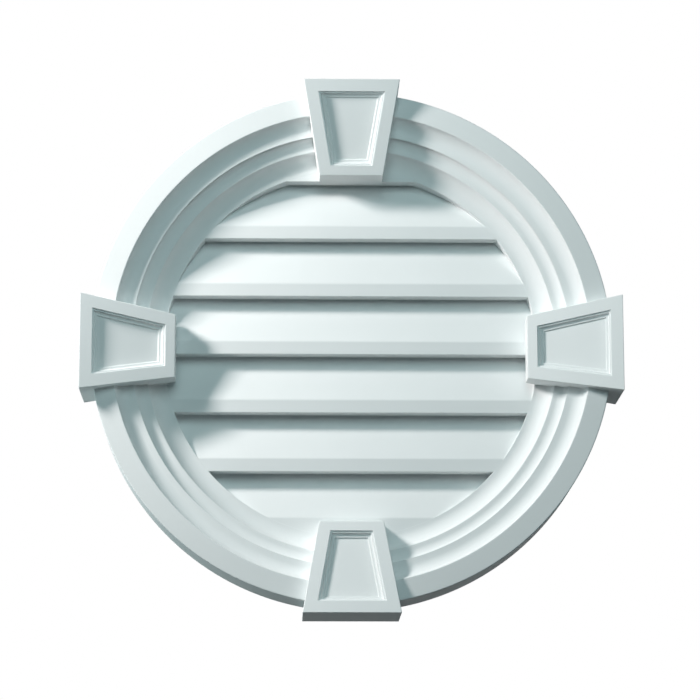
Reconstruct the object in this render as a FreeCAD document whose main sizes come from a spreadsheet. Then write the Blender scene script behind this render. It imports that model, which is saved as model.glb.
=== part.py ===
import FreeCAD, Part
import os
import Sketcher

# Round gable vent, moulded in one piece: a stepped-cove ring, a louvred throat and four keystones.
# Frame: X to the right, Z up, the wall at Y = 0, the front towards -Y and the origin at the ring's centre.

# Driving sizes in millimetres. Depths are measured off the wall, towards the front.
SIZES = {
    # Ring section, from the outer edge inwards. Each cove is a hollow with a flat foot in its width.
    "ring_diameter": 735,
    "ring_depth": 88,
    "band_width": 29.5,
    "outer_cove_width": 26.8,
    "outer_cove_drop": 16.8,
    "outer_cove_foot": 8,
    "middle_cove_width": 19.1,
    "middle_cove_drop": 13,
    "middle_cove_foot": 5.5,
    "inner_cove_width": 26.6,
    "inner_cove_drop": 15.2,
    "inner_cove_foot": 3.5,
    # Keystones: how far the tip stands outside the ring and the nose reaches into the throat
    "keystone_count": 4,
    "keystone_overhang": 13.5,
    "keystone_reach": 16,
    "keystone_wide": 137,
    "keystone_narrow": 90.5,
    "keystone_depth": 114,
    "keystone_nose_depth": 76,
    # Recessed panel in each keystone's face: a drop, a ledge, a cove, a quirk and a rounded floor
    "panel_border": 18,
    "panel_nose_border": 14.5,
    "panel_drop": 2.5,
    "panel_ledge": 2.5,
    "panel_cove_upright": 0.4,
    "panel_cove_radius": 4,
    "panel_quirk": 1.2,
    "panel_floor_upright": 0.4,
    "panel_floor_radius": 1.6,
    # Louvres: an upright lip set back in the throat, and a plate that rises to the wall behind the next lip
    "louvre_setback": 7,
    "louvre_pitch": 84.4,
    "louvre_lip_height": 18.6,
    "louvre_lip_thickness": 20,
    "louvre_plate": 14,
    "louvre_overlap": 8,
    "louvre_seat": 5,
}

# Lengths worked out from the driving sizes, as expressions of the sheet's cells
RIM = "(sizes.ring_diameter / 2)"
CREST = f"({RIM} - sizes.band_width)"
OUTER_ARRIS = f"({CREST} - sizes.outer_cove_width)"
INNER_ARRIS = f"({OUTER_ARRIS} - sizes.middle_cove_width)"
THROAT = f"({INNER_ARRIS} - sizes.inner_cove_width)"
OUTER_ARRIS_DEPTH = "(sizes.ring_depth - sizes.outer_cove_drop)"
INNER_ARRIS_DEPTH = f"({OUTER_ARRIS_DEPTH} - sizes.middle_cove_drop)"
THROAT_DEPTH = f"({INNER_ARRIS_DEPTH} - sizes.inner_cove_drop)"

# The keystone's face leans from its deep tip to its shallow nose
TIP = f"({RIM} + sizes.keystone_overhang)"
NOSE = f"({THROAT} - sizes.keystone_reach)"
FACE_RUN = f"({TIP} - {NOSE})"
FACE_FALL = "(sizes.keystone_depth - sizes.keystone_nose_depth)"
FACE_LENGTH = f"sqrt({FACE_RUN} ^ 2 + {FACE_FALL} ^ 2)"
FACE_LEAN = f"atan({FACE_FALL} / {FACE_RUN})"
SIDE_TAPER = f"((sizes.keystone_wide - sizes.keystone_narrow) / 2 / {FACE_LENGTH})"

# Each louvre's plate rises from its lip's top to the wall, a little above the next lip's lower edge
LIP_DEPTH = f"({THROAT_DEPTH} - sizes.louvre_setback)"
PLATE_RISE = "(sizes.louvre_pitch - sizes.louvre_lip_height + sizes.louvre_overlap)"
PLATE_UPRIGHT = f"(sizes.louvre_plate * sqrt({LIP_DEPTH} ^ 2 + {PLATE_RISE} ^ 2) / {LIP_DEPTH})"
LOUVRE_COUNT = f"(floor(({NOSE} + {THROAT} + sizes.louvre_lip_height) / sizes.louvre_pitch) + 1)"
LAST_LIP = f"({NOSE} - ({LOUVRE_COUNT} - 1) * sizes.louvre_pitch)"
SEAT = f"({THROAT} + sizes.louvre_seat)"

# Names for the sketcher's own numbering of points and axes
ORIGIN = -1
START, END, CENTRE = 1, 2, 3
MATCH = 0.001

doc = FreeCAD.newDocument("gable_vent")
sheet = doc.addObject("Spreadsheet::Sheet", "sizes")
for row, (alias, number) in enumerate(SIZES.items(), start=1):
    sheet.set(f"A{row}", alias)
    sheet.set(f"B{row}", str(number))
    sheet.setAlias(f"B{row}", alias)
doc.recompute()


def value(expression):
    """The number that an expression stands for at the sheet's present sizes."""
    return float(sheet.evalExpression(expression))


def origin_feature(body, role):
    """A body's own plane or axis."""
    return next(feature for feature in body.Origin.OriginFeatures if feature.Role == role)


def new_sketch(body, name, role):
    """An empty sketch on one of the body's origin planes."""
    sketch = body.newObject("Sketcher::SketchObject", name)
    sketch.AttachmentSupport = [(origin_feature(body, role), "")]
    sketch.MapMode = "FlatFace"
    return sketch


def bind(sketch, constraint, expression):
    """Adds a constraint and ties its length to the sheet."""
    number = sketch.addConstraint(constraint)
    sketch.setExpression(f"Constraints[{number}]", expression)


def add_outline(sketch, corners, coves=()):
    """A closed outline through corners given as pairs of expressions.

    The edges numbered in coves are arcs that leave their first corner flat, the others are straight.
    """
    points = [FreeCAD.Vector(value(x), value(y)) for x, y in corners]
    for edge, (first, last) in enumerate(zip(points, points[1:] + points[:1])):
        if edge in coves:
            run = last - first
            radius = (run.x ** 2 + run.y ** 2) / (2 * abs(run.x))
            centre = first - FreeCAD.Vector(radius, 0)
            circle = Part.Circle(centre, FreeCAD.Vector(0, 0, 1), radius)
            sketch.addGeometry(Part.ArcOfCircle(circle, 0, circle.parameter(last)))
            sketch.addConstraint(Sketcher.Constraint("Horizontal", edge, CENTRE, edge, START))
        else:
            sketch.addGeometry(Part.LineSegment(first, last))
    for edge, (x, y) in enumerate(corners):
        before = (edge - 1) % len(corners)
        sketch.addConstraint(Sketcher.Constraint("Coincident", before, END, edge, START))
        bind(sketch, Sketcher.Constraint("DistanceX", ORIGIN, START, edge, START, points[edge].x), x)
        bind(sketch, Sketcher.Constraint("DistanceY", ORIGIN, START, edge, START, points[edge].y), y)


def add_circle(sketch, radius):
    """A circle about the origin."""
    circle = Part.Circle(FreeCAD.Vector(), FreeCAD.Vector(0, 0, 1), value(radius))
    number = sketch.addGeometry(circle)
    sketch.addConstraint(Sketcher.Constraint("Coincident", number, CENTRE, ORIGIN, START))
    bind(sketch, Sketcher.Constraint("Radius", number, value(radius)), radius)


def add_feature(body, kind, name, sketch, length=None, **settings):
    """A feature made from a sketch, with its length tied to the sheet."""
    feature = body.newObject(f"PartDesign::{kind}", name)
    feature.Profile = sketch
    for setting, choice in settings.items():
        setattr(feature, setting, choice)
    if length:
        feature.setExpression("Length", length)
    doc.recompute()
    return feature


def check_cut(feature):
    """Stops the build if a cut took nothing away."""
    if feature.Shape.Volume >= feature.BaseFeature.Shape.Volume:
        raise RuntimeError(f"{feature.Name} cuts nothing")


def build_ring(body):
    """The ring: a flat outer band, three coves stepping down inwards and the throat's wall."""
    sketch = new_sketch(body, "ring_section", "YZ_Plane")
    corners = [
        ("0", THROAT),
        (f"-{THROAT_DEPTH}", THROAT),
        (f"-{THROAT_DEPTH}", f"({THROAT} + sizes.inner_cove_foot)"),
        (f"-{INNER_ARRIS_DEPTH}", INNER_ARRIS),
        (f"-{INNER_ARRIS_DEPTH}", f"({INNER_ARRIS} + sizes.middle_cove_foot)"),
        (f"-{OUTER_ARRIS_DEPTH}", OUTER_ARRIS),
        (f"-{OUTER_ARRIS_DEPTH}", f"({OUTER_ARRIS} + sizes.outer_cove_foot)"),
        ("-sizes.ring_depth", CREST),
        ("-sizes.ring_depth", RIM),
        ("0", RIM),
    ]
    add_outline(sketch, corners, coves=(2, 4, 6))
    return add_feature(body, "Revolution", "ring", sketch, ReferenceAxis=(sketch, ["H_Axis"]), Angle=360)


def panel_corners(inset):
    """The recess outline in the keystone's leaning face, its top edge at the tip, moved in by an inset."""
    border = f"(sizes.panel_border + {inset})"
    side = f"{border} * sqrt(1 + {SIDE_TAPER} ^ 2)"
    top = border
    foot = f"({FACE_LENGTH} - sizes.panel_nose_border - {inset})"
    half_top = f"(sizes.keystone_wide / 2 - {SIDE_TAPER} * {top} - {side})"
    half_foot = f"(sizes.keystone_wide / 2 - {SIDE_TAPER} * {foot} - {side})"
    return [
        (f"-{half_top}", f"-{top}"),
        (f"-{half_foot}", f"-{foot}"),
        (half_foot, f"-{foot}"),
        (half_top, f"-{top}"),
    ]


def build_keystone(body):
    """The top keystone, with its leaning face and the stepped recess in it."""
    plan = new_sketch(body, "keystone_plan", "XZ_Plane")
    add_outline(plan, [
        ("-sizes.keystone_wide / 2", TIP),
        ("-sizes.keystone_narrow / 2", NOSE),
        ("sizes.keystone_narrow / 2", NOSE),
        ("sizes.keystone_wide / 2", TIP),
    ])
    block = add_feature(body, "Pad", "keystone_block", plan, "sizes.keystone_depth")

    wedge = new_sketch(body, "face_wedge", "YZ_Plane")
    add_outline(wedge, [
        ("-sizes.keystone_depth", TIP),
        ("-sizes.keystone_depth", NOSE),
        ("-sizes.keystone_nose_depth", NOSE),
    ])
    face = add_feature(body, "Pocket", "keystone_face", wedge, "sizes.keystone_wide", SideType="Symmetric")
    check_cut(face)

    features = [block, face]
    leaning = FreeCAD.Rotation(FreeCAD.Vector(1, 0, 0), 1)
    for name, inset, depth in panel_steps():
        outline = new_sketch(body, f"{name}_outline", "XZ_Plane")
        outline.AttachmentOffset = FreeCAD.Placement(FreeCAD.Vector(), leaning)
        outline.setExpression("AttachmentOffset.Base.y", TIP)
        outline.setExpression("AttachmentOffset.Base.z", "sizes.keystone_depth")
        outline.setExpression("AttachmentOffset.Rotation.Angle", FACE_LEAN)
        add_outline(outline, panel_corners(inset))
        pocket = add_feature(body, "Pocket", name, outline, depth)
        check_cut(pocket)
        features.append(pocket)
    return features


def panel_steps():
    """Each step of the recess: its name, how far in its wall stands and how deep its floor lies."""
    cove_wall = "sizes.panel_ledge"
    cove_floor = "(sizes.panel_drop + sizes.panel_cove_upright + sizes.panel_cove_radius)"
    floor_wall = f"({cove_wall} + sizes.panel_cove_radius + sizes.panel_quirk)"
    panel_floor = f"({cove_floor} + sizes.panel_floor_upright + sizes.panel_floor_radius)"
    return [
        ("panel_ledge", "0", "sizes.panel_drop"),
        ("panel_cove", cove_wall, cove_floor),
        ("panel_floor", floor_wall, panel_floor),
    ]


def step_edges(shape, outline, inset, depth):
    """The edges round the floor of one step of the recess, in every keystone."""
    corners = [FreeCAD.Vector(value(x), value(y), -value(depth)) for x, y in panel_corners(inset)]
    corners = [outline.Placement.multVec(corner) for corner in corners]
    sides = list(zip(corners, corners[1:] + corners[:1]))
    names = []
    for number in range(int(value("sizes.keystone_count"))):
        turn = FreeCAD.Rotation(FreeCAD.Vector(0, 1, 0), 360 * number / value("sizes.keystone_count"))
        middles = [turn.multVec((first + last) / 2) for first, last in sides]
        for index, edge in enumerate(shape.Edges, start=1):
            middle = (edge.firstVertex().Point + edge.lastVertex().Point) / 2
            if any(middle.distanceToPoint(other) < MATCH for other in middles):
                names.append(f"Edge{index}")
    return names


def build_surround():
    """The ring with its keystones, and the throat cleared behind the keystones' noses."""
    body = doc.addObject("PartDesign::Body", "surround")
    build_ring(body)
    keystone = build_keystone(body)
    keystones = body.newObject("PartDesign::PolarPattern", "keystones")
    keystones.Originals = keystone
    keystones.Axis = (origin_feature(body, "Y_Axis"), [""])
    keystones.Angle = 360
    keystones.setExpression("Occurrences", "sizes.keystone_count")
    body.Tip = keystones
    doc.recompute()

    bore = new_sketch(body, "throat_circle", "XZ_Plane")
    add_circle(bore, THROAT)
    throat = add_feature(body, "Pocket", "throat", bore, LIP_DEPTH, Reversed=True)

    base = throat
    steps = panel_steps()
    for (name, inset, depth), radius in zip(steps[1:], ("panel_cove_radius", "panel_floor_radius")):
        edges = step_edges(base.Shape, doc.getObject(f"{name}_outline"), inset, depth)
        cove = body.newObject("PartDesign::Fillet", f"{name}_round")
        cove.Base = (base, edges)
        cove.setExpression("Radius", f"sizes.{radius}")
        doc.recompute()
        base = cove
    return body


def build_louvres():
    """The bent slats, patterned down the throat and trimmed to a circle that seats in the ring."""
    body = doc.addObject("PartDesign::Body", "louvres")
    section = new_sketch(body, "louvre_section", "YZ_Plane")
    lip_back = f"(sizes.louvre_lip_thickness - {LIP_DEPTH})"
    lip_top = f"({NOSE} + sizes.louvre_lip_height)"
    heel = f"({lip_top} + sizes.louvre_lip_thickness * {PLATE_RISE} / {LIP_DEPTH} - {PLATE_UPRIGHT})"
    add_outline(section, [
        (f"-{LIP_DEPTH}", NOSE),
        (f"-{LIP_DEPTH}", lip_top),
        ("0", f"({lip_top} + {PLATE_RISE})"),
        ("0", f"({lip_top} + {PLATE_RISE} - {PLATE_UPRIGHT})"),
        (lip_back, heel),
        (lip_back, NOSE),
    ])
    slat = add_feature(body, "Pad", "louvre", section, f"2 * {SEAT}", SideType="Symmetric")

    slats = body.newObject("PartDesign::LinearPattern", "louvre_row")
    slats.Originals = [slat]
    slats.Direction = (origin_feature(body, "Z_Axis"), [""])
    slats.Reversed = True
    slats.Mode = "Spacing"
    slats.setExpression("Offset", "sizes.louvre_pitch")
    slats.setExpression("Occurrences", LOUVRE_COUNT)
    body.Tip = slats
    doc.recompute()

    # Below the last lip the throat is closed down to the ring
    sill_section = new_sketch(body, "sill_section", "YZ_Plane")
    sill_foot = f"-({THROAT} + sizes.louvre_pitch)"
    add_outline(sill_section, [
        (f"-{LIP_DEPTH}", LAST_LIP),
        (lip_back, LAST_LIP),
        (lip_back, sill_foot),
        (f"-{LIP_DEPTH}", sill_foot),
    ])
    add_feature(body, "Pad", "sill", sill_section, f"2 * {SEAT}", SideType="Symmetric")

    trim_rings = new_sketch(body, "trim_rings", "XZ_Plane")
    add_circle(trim_rings, SEAT)
    add_circle(trim_rings, f"2 * {SEAT}")
    trim = add_feature(body, "Pocket", "trim", trim_rings, Type="ThroughAll", Reversed=True)
    check_cut(trim)
    return body


def check_document():
    """Stops the build if any object failed or has a shape that isn't sound."""
    for item in doc.Objects:
        if "Invalid" in item.State or "Error" in item.State:
            raise RuntimeError(f"{item.Name} failed: {item.State}")
        shape = getattr(item, "Shape", None)
        if shape is not None and (shape.isNull() or not shape.isValid()):
            raise RuntimeError(f"{item.Name} has no sound shape")


vent = doc.addObject("Part::Fuse", "gable_vent")
vent.Base = build_surround()
vent.Tool = build_louvres()
vent.Refine = True
vent.Label = "gable_vent"
vent.Placement = FreeCAD.Placement()
doc.recompute()

check_document()
if len(vent.Shape.Solids) != 1:
    raise RuntimeError("the vent is not one solid")

os.makedirs("parts", exist_ok=True)
vent.Shape.exportStep(f"parts/{vent.Label}.step")
print(vent.Label, "volume", round(vent.Shape.Volume / 1e6, 3), "litres, box", vent.Shape.BoundBox)
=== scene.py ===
import math

import bmesh
import bpy
from mathutils import Matrix, Vector


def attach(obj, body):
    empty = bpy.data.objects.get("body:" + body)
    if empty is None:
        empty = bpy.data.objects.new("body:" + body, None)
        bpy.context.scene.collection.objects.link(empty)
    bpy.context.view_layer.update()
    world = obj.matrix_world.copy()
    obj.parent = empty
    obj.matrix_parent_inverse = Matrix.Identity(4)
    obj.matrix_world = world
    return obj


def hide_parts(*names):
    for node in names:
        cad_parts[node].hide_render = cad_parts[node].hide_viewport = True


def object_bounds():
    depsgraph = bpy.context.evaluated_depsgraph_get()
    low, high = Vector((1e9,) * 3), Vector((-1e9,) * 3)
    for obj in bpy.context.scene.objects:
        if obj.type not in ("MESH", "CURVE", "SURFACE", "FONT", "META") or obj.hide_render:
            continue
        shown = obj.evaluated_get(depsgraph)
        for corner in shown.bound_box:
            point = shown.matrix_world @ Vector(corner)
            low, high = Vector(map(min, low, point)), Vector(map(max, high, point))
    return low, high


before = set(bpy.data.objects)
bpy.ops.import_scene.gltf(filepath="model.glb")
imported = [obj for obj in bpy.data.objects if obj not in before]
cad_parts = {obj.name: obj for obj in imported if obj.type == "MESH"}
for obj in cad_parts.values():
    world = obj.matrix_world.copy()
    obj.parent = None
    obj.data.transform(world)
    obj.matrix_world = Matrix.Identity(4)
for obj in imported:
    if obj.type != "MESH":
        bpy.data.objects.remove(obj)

# The imported model's box, which sets the scale of the sizes below
cad_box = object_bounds()

# The vent's width from tip to tip; its sizes are millimetres at that width, and MM fits them to the frame
WIDTH = 762.0
MM = (cad_box[1].x - cad_box[0].x) / WIDTH

# Ring section: distances from the vent's centre
RIM = 367.5
CREST = 338.0
OUTER_ARRIS = 311.2
INNER_ARRIS = 292.1
THROAT = 265.5

# Ring section: heights off the wall
RING_DEPTH = 88.0
OUTER_ARRIS_DEPTH = 71.2
INNER_ARRIS_DEPTH = 58.2
THROAT_DEPTH = 40.5

# The flat foot of each cove
OUTER_FOOT = 8.0
MIDDLE_FOOT = 5.5
INNER_FOOT = 3.5

# A groove just below the outer arris, seen in the photograph as a dark line
GROOVE_EDGE = 1.0
GROOVE_HEIGHT = 4.0
GROOVE_DEPTH = 3.0

# Louvre lips, flush with the ring's inner foot but for a hair, so that no two faces coincide
LOUVRES = 7
PITCH = 84.4
LIP_SETBACK = 0.1
LIP_DEPTH = THROAT_DEPTH - LIP_SETBACK
LIP_HEIGHT = 18.6
LIP_THICKNESS = 21.0

# Louvre plates, which lean back from a lip's top to pass behind the next lip up; both overlaps are heights
# above that lip's foot: where the plate's slope would reach the wall, and where the plate is cut off
PLATE_THICKNESS = 14.0
SLOPE_OVERLAP = 29.0
CUT_OVERLAP = 8.0
PLATE_SLOPE = (PITCH - LIP_HEIGHT + SLOPE_OVERLAP) / LIP_DEPTH
PLATE_UPRIGHT = PLATE_THICKNESS * math.hypot(1, PLATE_SLOPE)

# How far the louvres' ends reach into the ring, and how far short of the round trim's top their edges stop
LOUVRE_SEAT = 3.0
TRIM_RADIUS = THROAT + LOUVRE_SEAT
TRIM_MARGIN = 1.0
TRIM_LIMIT = TRIM_RADIUS - TRIM_MARGIN

# How far parts that run into the ring stay off its back, so that no two faces coincide there
SINK = 0.3

# Keystones: distances from the vent's centre, widths, and heights off the wall
KEYSTONES = 4
TIP = WIDTH / 2
NOSE = 248.6
ROOT = 300.0
TIP_WIDTH = 137.0
NOSE_WIDTH = 90.5
TIP_DEPTH = 114.0
NOSE_DEPTH = 76.0
FACE_LENGTH = math.hypot(TIP - NOSE, TIP_DEPTH - NOSE_DEPTH)

# Recessed panel in a keystone's face, from its border down to its floor
PANEL_BORDER = 18.0
PANEL_NOSE_BORDER = 14.5
PANEL_DROP = 2.5
PANEL_LEDGE = 2.5
PANEL_COVE_UPRIGHT = 0.4
PANEL_COVE_RADIUS = 4.0
PANEL_QUIRK = 1.2
PANEL_FLOOR_UPRIGHT = 0.4
PANEL_FLOOR_RADIUS = 1.6

# How far back each kind of edge is eased, as a moulded and primed edge is
EASE_RING = 1.4
EASE_OUTER_ARRIS = 0.4
EASE_THROAT = 0.8
EASE_KEYSTONE = 1.1
EASE_PANEL = 0.5
EASE_BROW = 1.4
EASE_LIP = 0.7

# The narrow strip kept beside an eased edge, so that the face beyond it is shaded flat
SUPPORT = 0.4

# How finely curves are drawn, and the shape of a bevel that is round
RING_STEPS = 360
COVE_STEPS = 16
TRIM_STEPS = 8
PANEL_COVE_STEPS = 8
PANEL_FLOOR_STEPS = 5
EASE_STEPS = 5
KEYSTONE_EASE_STEPS = 3
ROUND_PROFILE = 0.5

# Shading: edges sharper than this stay sharp, and large faces set the normals beside them
SHARP_ANGLE = math.radians(32)
FACE_WEIGHT = 100

# How nearly two directions agree, as a cosine, for an edge that runs off the wall and for the leaning face
EDGE_AGREES = 0.9
FACE_AGREES = 0.999

# Primed foam: tones of the faint mottle, where it turns from one to the other, and the fine skin in metres
FOAM_DARK = (0.845, 0.86, 0.86, 1)
FOAM_LIGHT = (0.865, 0.88, 0.88, 1)
MOTTLE_SCALE = 9.0
MOTTLE_DETAIL = 4.0
MOTTLE_TURN = (0.3, 0.7)
SKIN_SCALE = 420.0
SKIN_DETAIL = 3.0
SKIN_STRENGTH = 0.08
SKIN_HEIGHT = 0.0004
FOAM_ROUGHNESS = 0.62
FOAM_SPECULAR = 0.2

# Studio floor, in metres, well below a camera that stands low and looks up
FLOOR_HEIGHT = -2.2
FLOOR_HALF = 15.0
FLOOR_DARK = (0.76, 0.77, 0.77, 1)
FLOOR_LIGHT = (0.80, 0.81, 0.81, 1)
FLOOR_GRAIN_SCALE = 3.0
FLOOR_GRAIN_DETAIL = 2.0
FLOOR_GRAIN_TURN = (0.0, 1.0)
FLOOR_GLOW = 0.85
FLOOR_ROUGHNESS = 0.9
FLOOR_BOUNCE = (0.15, 0.16, 0.16, 1)

# Dim light all round, and the white that is seen behind the vent
AMBIENT_COLOUR = (0.57, 0.93, 1.0, 1)
AMBIENT_STRENGTH = 0.095
BACKDROP_COLOUR = (1, 1, 1, 1)
BACKDROP_STRENGTH = 1.0

# The point at which every lamp is aimed, in metres
LAMP_AIM = Vector((0, -0.05, 0))

# Camera, in metres and radians, and the photograph's focal length and width in pixels
CAMERA_PLACE = Vector((-0.09328, -4.18518, -0.82981))
CAMERA_YAW = 0.02218
CAMERA_PITCH = 0.19793
CAMERA_ROLL = -0.00070
FOCAL_PIXELS = 2970.73
FRAME_PIXELS = 700
SENSOR_WIDTH = 36.0


def between(a, b, t):
    """The point a share t of the way from a to b."""
    return tuple(p + (q - p) * t for p, q in zip(a, b))


def straight(a, b, steps=1):
    """A straight run of points."""
    return [between(a, b, i / steps) for i in range(steps + 1)]


def cove(a, b, foot):
    """A flat foot and then a hollow, from a low inner point to a high outer one, as height and radius."""
    rise = b[0] - a[0]
    run = b[1] - a[1] - foot
    radius = (rise ** 2 + run ** 2) / (2 * rise)
    sweep = math.atan2(run, radius - rise)
    points = [a]
    for step in range(COVE_STEPS + 1):
        t = sweep * step / COVE_STEPS
        points.append((a[0] + radius * (1 - math.cos(t)), a[1] + foot + radius * math.sin(t)))
    return points


def quarter_hollow(inset, depth, radius, steps):
    """A quarter round from a wall down to a floor, as inset and depth."""
    angles = [math.pi / 2 * step / steps for step in range(steps + 1)]
    return [(inset + radius * (1 - math.cos(t)), depth + radius * math.sin(t)) for t in angles]


def rounded(start, corner, end, t):
    """A point on the curve that rounds a corner, a share t of the way from start to end."""
    return between(between(start, corner, t), between(corner, end, t), t)


def cut_head(points, length):
    """Takes a length off the start of a run of points."""
    points = list(points)
    while len(points) > 2 and math.dist(points[0], points[1]) <= length:
        length -= math.dist(points[0], points[1])
        points.pop(0)
    points[0] = between(points[0], points[1], length / math.dist(points[0], points[1]))
    return points


def cut_tail(points, length):
    """Takes a length off the end of a run of points."""
    return cut_head(points[::-1], length)[::-1]


def eased_loop(runs, eases):
    """One closed loop from runs that meet at corners; eases[i] rounds the corner at the end of run i."""
    loop = []
    for i, run in enumerate(runs):
        before, after = eases[i - 1], eases[i]
        body = list(run)
        if before:
            body = cut_head(body, before)
            body = [body[0]] + cut_head(body, SUPPORT)
        if not after:
            loop += body[:-1]
            continue
        body = cut_tail(body, after)
        loop += cut_tail(body, SUPPORT) + [body[-1]]
        end = cut_head(runs[(i + 1) % len(runs)], after)[0]
        loop += [rounded(body[-1], run[-1], end, step / EASE_STEPS) for step in range(1, EASE_STEPS)]
    return loop


def around(items):
    """Each item with the one after it, round a closed loop."""
    return list(zip(items, items[1:] + items[:1]))


def bridge(bm, one, other):
    """Joins two closed loops of vertices with a band of faces."""
    return [bm.faces.new((a, b, d, c)) for (a, b), (c, d) in zip(around(one), around(other))]


def add_ring(bm):
    """The revolved ring: throat wall, three coves, flat outer band and rim. Points are height, radius."""
    back_inner, back_outer = (0, THROAT), (0, RIM)
    throat, inner = (THROAT_DEPTH, THROAT), (INNER_ARRIS_DEPTH, INNER_ARRIS)
    outer, crest, rim = (OUTER_ARRIS_DEPTH, OUTER_ARRIS), (RING_DEPTH, CREST), (RING_DEPTH, RIM)
    groove_roof = OUTER_ARRIS_DEPTH - GROOVE_EDGE
    groove_floor = groove_roof - GROOVE_HEIGHT
    groove_wall = OUTER_ARRIS + GROOVE_DEPTH
    groove = [(groove_floor, groove_wall), (groove_roof, groove_wall), (groove_roof, OUTER_ARRIS)]
    runs = [
        straight(back_inner, throat),
        cove(throat, inner, INNER_FOOT),
        cove(inner, (groove_floor, OUTER_ARRIS), MIDDLE_FOOT) + groove + [outer],
        cove(outer, crest, OUTER_FOOT),
        straight(crest, rim),
        straight(rim, back_outer),
        straight(back_outer, back_inner),
    ]
    section = eased_loop(runs, [EASE_THROAT, EASE_RING, EASE_OUTER_ARRIS, EASE_RING, EASE_RING, 0, 0])
    rows = []
    for step in range(RING_STEPS):
        angle = 2 * math.pi * step / RING_STEPS
        rows.append([bm.verts.new((r * math.cos(angle), -h, r * math.sin(angle))) for h, r in section])
    for row, following in around(rows):
        bridge(bm, row, following)


def louvre_section(number):
    """Section of a bent slat, counting from the top one. Points are depth behind the lips' faces, height."""
    foot = NOSE - PITCH * number
    brow = foot + LIP_HEIGHT
    heel = brow + LIP_THICKNESS * PLATE_SLOPE - PLATE_UPRIGHT
    wall = LIP_DEPTH - SINK
    cut = min(foot + PITCH + CUT_OVERLAP, TRIM_LIMIT)
    ease_lip = EASE_LIP
    if number == LOUVRES - 1:
        # The last lip runs on down and closes the throat as a sill
        foot = -TRIM_LIMIT
        ease_lip = 0
    if heel > TRIM_LIMIT:
        # The ring leaves the top lip no room for a plate
        corners = [(0, foot), (0, TRIM_LIMIT), (LIP_THICKNESS, TRIM_LIMIT), (LIP_THICKNESS, foot)]
        ease_brow = 0
    else:
        corners = [
            (0, foot),
            (0, brow),
            ((cut - brow) / PLATE_SLOPE, cut),
            (wall, cut),
            (wall, brow + wall * PLATE_SLOPE - PLATE_UPRIGHT),
            (LIP_THICKNESS, heel),
            (LIP_THICKNESS, foot),
        ]
        ease_brow = EASE_BROW
    eases = [ease_brow] + [0] * (len(corners) - 2) + [ease_lip]
    return eased_loop([straight(a, b, TRIM_STEPS) for a, b in around(corners)], eases)


def add_louvre(bm, number):
    """One bent slat, trimmed round so that its ends lie inside the ring."""
    left, right = [], []
    for depth, z in louvre_section(number):
        half = math.sqrt(TRIM_RADIUS ** 2 - z ** 2)
        left.append(bm.verts.new((-half, depth - LIP_DEPTH, z)))
        right.append(bm.verts.new((half, depth - LIP_DEPTH, z)))
    bridge(bm, left, right)
    bm.faces.new(left)
    bm.faces.new(right[::-1])


def half_width(radius):
    """Half the keystone's width at a distance from the vent's centre."""
    return NOSE_WIDTH / 2 + (TIP_WIDTH - NOSE_WIDTH) / 2 * (radius - NOSE) / (TIP - NOSE)


def face_point(across, along):
    """A point on the top keystone's leaning face: across it, and down it from the tip."""
    share = along / FACE_LENGTH
    return Vector((across, -TIP_DEPTH + (TIP_DEPTH - NOSE_DEPTH) * share, TIP - (TIP - NOSE) * share))


def panel_loop(inset, depth):
    """The recess outline's four corners, moved in by an inset and sunk below the face."""
    taper = (TIP_WIDTH - NOSE_WIDTH) / 2 / FACE_LENGTH
    head = PANEL_BORDER + inset
    foot = FACE_LENGTH - PANEL_NOSE_BORDER - inset
    side = head * math.hypot(1, taper)
    sunk = Vector((0, TIP - NOSE, TIP_DEPTH - NOSE_DEPTH)) * (depth / FACE_LENGTH)
    corners = []
    for way, along in ((-1, head), (1, head), (1, foot), (-1, foot)):
        half = TIP_WIDTH / 2 - taper * along - side
        corners.append(face_point(way * half, along) + sunk)
    return corners


def panel_profile():
    """Inset and depth down the recess: eased edge, drop, ledge, cove, quirk, rounded floor."""
    cove_top = PANEL_DROP + PANEL_COVE_UPRIGHT
    cove_floor = cove_top + PANEL_COVE_RADIUS
    floor_wall = PANEL_LEDGE + PANEL_COVE_RADIUS + PANEL_QUIRK
    floor_top = cove_floor + PANEL_FLOOR_UPRIGHT
    points = [(-EASE_PANEL - SUPPORT, 0)]
    for step in range(EASE_STEPS + 1):
        points.append(rounded((-EASE_PANEL, 0), (0, 0), (0, EASE_PANEL), step / EASE_STEPS))
    points += [(0, PANEL_DROP), (PANEL_LEDGE, PANEL_DROP)]
    points += quarter_hollow(PANEL_LEDGE, cove_top, PANEL_COVE_RADIUS, PANEL_COVE_STEPS)
    points.append((floor_wall, cove_floor))
    points += quarter_hollow(floor_wall, floor_top, PANEL_FLOOR_RADIUS, PANEL_FLOOR_STEPS)
    points.append((floor_wall + PANEL_FLOOR_RADIUS + SUPPORT, floor_top + PANEL_FLOOR_RADIUS))
    return points


def runs_off_wall(edge):
    """Whether an edge runs nearly straight off the wall."""
    start, end = edge.verts
    return abs((end.co - start.co).normalized().y) > EDGE_AGREES


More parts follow.
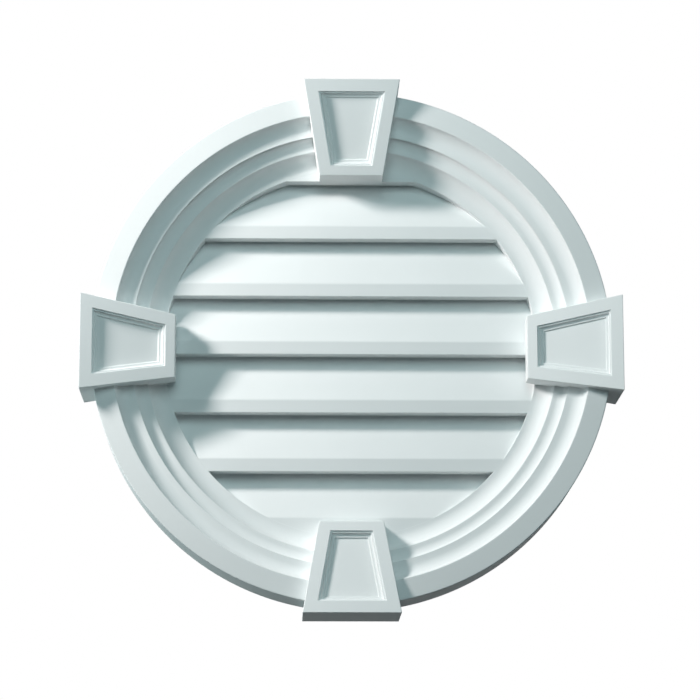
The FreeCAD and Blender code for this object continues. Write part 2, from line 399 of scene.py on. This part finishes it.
def add_keystone_block(block):
    """The top keystone's tapered block with eased edges; returns its leaning face."""
    side = [
        (TIP_DEPTH, TIP),
        (0, TIP),
        (0, RIM),
        (SINK, RIM),
        (SINK, ROOT),
        (LIP_DEPTH, ROOT),
        (LIP_DEPTH, NOSE),
        (NOSE_DEPTH, NOSE),
    ]
    left = [block.verts.new((-half_width(r), -h, r)) for h, r in side]
    right = [block.verts.new((half_width(r), -h, r)) for h, r in side]
    block.faces.new(left)
    block.faces.new(right[::-1])
    across = bridge(block, right, left)
    tip, nose, front = across[0], across[-2], across[-1]
    bmesh.ops.recalc_face_normals(block, faces=block.faces)
    lean = front.normal.copy()
    edges = set(front.edges)
    for face in (tip, nose):
        edges |= {edge for edge in face.edges if runs_off_wall(edge)}
    bmesh.ops.bevel(
        block,
        geom=list(edges),
        offset=EASE_KEYSTONE,
        offset_type="OFFSET",
        segments=KEYSTONE_EASE_STEPS,
        profile=ROUND_PROFILE,
        affect="EDGES",
    )
    facing = [face for face in block.faces if face.normal.dot(lean) > FACE_AGREES]
    return max(facing, key=lambda face: face.calc_area())


def add_keystone(bm, number):
    """One tapered keystone with its recessed panel, turned to its place on the ring."""
    block = bmesh.new()
    front = add_keystone_block(block)
    rim = list(front.verts)
    block.faces.remove(front)
    loops = [[block.verts.new(corner) for corner in panel_loop(*point)] for point in panel_profile()]
    first = [min(rim, key=lambda v: (v.co - corner.co).length) for corner in loops[0]]
    for outer, inner in zip([first] + loops, loops):
        bridge(block, outer, inner)
    block.faces.new(loops[-1])
    bmesh.ops.recalc_face_normals(block, faces=block.faces)
    block.transform(Matrix.Rotation(2 * math.pi * number / KEYSTONES, 4, "Y"))
    piece = bpy.data.meshes.new("keystone")
    block.to_mesh(piece)
    block.free()
    bm.from_mesh(piece)
    bpy.data.meshes.remove(piece)


def build_vent():
    """The whole moulding as one mesh."""
    bm = bmesh.new()
    add_ring(bm)
    for number in range(LOUVRES):
        add_louvre(bm, number)
    for number in range(KEYSTONES):
        add_keystone(bm, number)
    bmesh.ops.recalc_face_normals(bm, faces=bm.faces)
    bm.transform(Matrix.Scale(MM, 4))
    mesh = bpy.data.meshes.new("vent_moulding")
    bm.to_mesh(mesh)
    bm.free()
    for polygon in mesh.polygons:
        polygon.use_smooth = True
    mesh.set_sharp_from_angle(angle=SHARP_ANGLE)
    vent = bpy.data.objects.new("vent_moulding", mesh)
    bpy.context.scene.collection.objects.link(vent)
    weighted = vent.modifiers.new("flat_faces", "WEIGHTED_NORMAL")
    weighted.keep_sharp = True
    weighted.weight = FACE_WEIGHT
    return vent


def new_material(name):
    """A node material, its node tree and its shader."""
    material = bpy.data.materials.new(name)
    material.use_nodes = True
    return material, material.node_tree, material.node_tree.nodes["Principled BSDF"]


def add_noise(tree, scale, detail):
    """Noise in the object's own coordinates, as a socket."""
    where = tree.nodes.new("ShaderNodeTexCoord")
    noise = tree.nodes.new("ShaderNodeTexNoise")
    noise.inputs["Scale"].default_value = scale
    noise.inputs["Detail"].default_value = detail
    tree.links.new(where.outputs["Object"], noise.inputs["Vector"])
    return noise.outputs["Fac"]


def add_tone(tree, amount, turn, dark, light):
    """A colour that turns from dark to light with an amount, as a socket."""
    tone = tree.nodes.new("ShaderNodeValToRGB")
    for element, position, colour in zip(tone.color_ramp.elements, turn, (dark, light)):
        element.position = position
        element.color = colour
    tree.links.new(amount, tone.inputs["Fac"])
    return tone.outputs["Color"]


def foam_material():
    """Primed white rigid foam: nearly even, with a faint mottle and a fine skin."""
    material, tree, shader = new_material("primed_foam")
    mottle = add_noise(tree, MOTTLE_SCALE, MOTTLE_DETAIL)
    tone = add_tone(tree, mottle, MOTTLE_TURN, FOAM_DARK, FOAM_LIGHT)
    tree.links.new(tone, shader.inputs["Base Color"])
    bump = tree.nodes.new("ShaderNodeBump")
    bump.inputs["Strength"].default_value = SKIN_STRENGTH
    bump.inputs["Distance"].default_value = SKIN_HEIGHT
    tree.links.new(add_noise(tree, SKIN_SCALE, SKIN_DETAIL), bump.inputs["Height"])
    tree.links.new(bump.outputs["Normal"], shader.inputs["Normal"])
    shader.inputs["Roughness"].default_value = FOAM_ROUGHNESS
    shader.inputs["Specular IOR Level"].default_value = FOAM_SPECULAR
    return material


def seen_rays(tree):
    """A socket that is 1 for rays by which the surroundings are seen, straight or in a surface."""
    path = tree.nodes.new("ShaderNodeLightPath")
    seen = path.outputs["Is Camera Ray"]
    for other in ("Is Glossy Ray", "Is Transmission Ray"):
        either = tree.nodes.new("ShaderNodeMath")
        either.operation = "MAXIMUM"
        tree.links.new(seen, either.inputs[0])
        tree.links.new(path.outputs[other], either.inputs[1])
        seen = either.outputs[0]
    return seen


def show_where_seen(tree, seen, lighting, output):
    """Gives an output one shader for the rays that see it and another for those that carry its light."""
    mix = tree.nodes.new("ShaderNodeMixShader")
    tree.links.new(seen_rays(tree), mix.inputs["Fac"])
    tree.links.new(lighting.outputs[0], mix.inputs[1])
    tree.links.new(seen.outputs[0], mix.inputs[2])
    tree.links.new(mix.outputs[0], output.inputs["Surface"])


def floor_material():
    """A plain studio floor, pale to the eye, that throws little light back up at the vent."""
    material, tree, shader = new_material("studio_floor")
    grain = add_noise(tree, FLOOR_GRAIN_SCALE, FLOOR_GRAIN_DETAIL)
    tone = add_tone(tree, grain, FLOOR_GRAIN_TURN, FLOOR_DARK, FLOOR_LIGHT)
    tree.links.new(tone, shader.inputs["Base Color"])
    tree.links.new(tone, shader.inputs["Emission Color"])
    shader.inputs["Emission Strength"].default_value = FLOOR_GLOW
    shader.inputs["Roughness"].default_value = FLOOR_ROUGHNESS
    dim = tree.nodes.new("ShaderNodeBsdfDiffuse")
    dim.inputs["Color"].default_value = FLOOR_BOUNCE
    show_where_seen(tree, shader, dim, tree.nodes["Material Output"])
    return material


def add_floor():
    """The floor, which isn't part of the object."""
    mesh = bpy.data.meshes.new("studio_floor")
    half = FLOOR_HALF
    corners = [(-half, -half, 0), (half, -half, 0), (half, half, 0), (-half, half, 0)]
    mesh.from_pydata(corners, [], [(0, 1, 2, 3)])
    floor = bpy.data.objects.new("studio_floor", mesh)
    floor.location.z = FLOOR_HEIGHT
    floor.data.materials.append(floor_material())
    bpy.context.scene.collection.objects.link(floor)


def add_lamp(name, bearing, height, distance, size, watts, colour):
    """A soft lamp aimed at the vent. Bearing and height are degrees, with bearings to the left minus."""
    turn, lift = math.radians(bearing), math.radians(height)
    way = Vector((math.sin(turn) * math.cos(lift), -math.cos(turn) * math.cos(lift), math.sin(lift)))
    data = bpy.data.lights.new(name, "AREA")
    data.shape = "RECTANGLE"
    data.size, data.size_y = size
    data.energy = watts
    data.color = colour
    lamp = bpy.data.objects.new(name, data)
    lamp.location = way * distance
    lamp.rotation_euler = (LAMP_AIM - lamp.location).to_track_quat("-Z", "Y").to_euler()
    lamp.visible_camera = False
    bpy.context.scene.collection.objects.link(lamp)


def add_lamps():
    """A key far to the left, as the photograph's shadows have it, and three fills."""
    add_lamp(
        "key", bearing=-60, height=28, distance=1.7,
        size=(0.28, 0.34), watts=30.5, colour=(1.0, 0.955, 0.94),
    )
    add_lamp(
        "fill_front", bearing=-2, height=20, distance=1.9,
        size=(1.0, 1.0), watts=10.4, colour=(0.72, 0.98, 1.0),
    )
    add_lamp(
        "fill_low_left", bearing=-90, height=-20, distance=1.1,
        size=(0.5, 0.5), watts=2.7, colour=(0.76, 0.99, 1.0),
    )
    add_lamp(
        "fill_back", bearing=180, height=0, distance=2.4,
        size=(0.6, 0.6), watts=7.0, colour=(0.88, 0.98, 1.0),
    )


def add_world():
    """Dim light all round, and plain white where the camera looks past the object."""
    world = bpy.data.worlds.new("studio")
    bpy.context.scene.world = world
    world.use_nodes = True
    tree = world.node_tree
    ambient = tree.nodes["Background"]
    ambient.inputs["Color"].default_value = AMBIENT_COLOUR
    ambient.inputs["Strength"].default_value = AMBIENT_STRENGTH
    white = tree.nodes.new("ShaderNodeBackground")
    white.inputs["Color"].default_value = BACKDROP_COLOUR
    white.inputs["Strength"].default_value = BACKDROP_STRENGTH
    show_where_seen(tree, white, ambient, tree.nodes["World Output"])


def add_camera():
    """The photograph's viewpoint."""
    yaw, pitch, roll = CAMERA_YAW, CAMERA_PITCH, CAMERA_ROLL
    ahead = Vector((math.sin(yaw) * math.cos(pitch), math.cos(yaw) * math.cos(pitch), math.sin(pitch)))
    right = Vector((math.cos(yaw), -math.sin(yaw), 0))
    up = right.cross(ahead)
    rolled_right = right * math.cos(roll) + up * math.sin(roll)
    rolled_up = up * math.cos(roll) - right * math.sin(roll)
    data = bpy.data.cameras.new("camera")
    data.sensor_fit = "HORIZONTAL"
    data.sensor_width = SENSOR_WIDTH
    data.lens = FOCAL_PIXELS / FRAME_PIXELS * SENSOR_WIDTH
    camera = bpy.data.objects.new("camera", data)
    turn = Matrix((rolled_right, rolled_up, -ahead)).transposed().to_4x4()
    camera.matrix_world = Matrix.Translation(CAMERA_PLACE) @ turn
    bpy.context.scene.collection.objects.link(camera)
    bpy.context.scene.camera = camera


vent = build_vent()
vent.data.materials.append(foam_material())
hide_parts("gable_vent")
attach(vent, "root")

add_floor()
add_lamps()
add_world()
add_camera()
bpy.context.scene.view_settings.view_transform = "Standard"
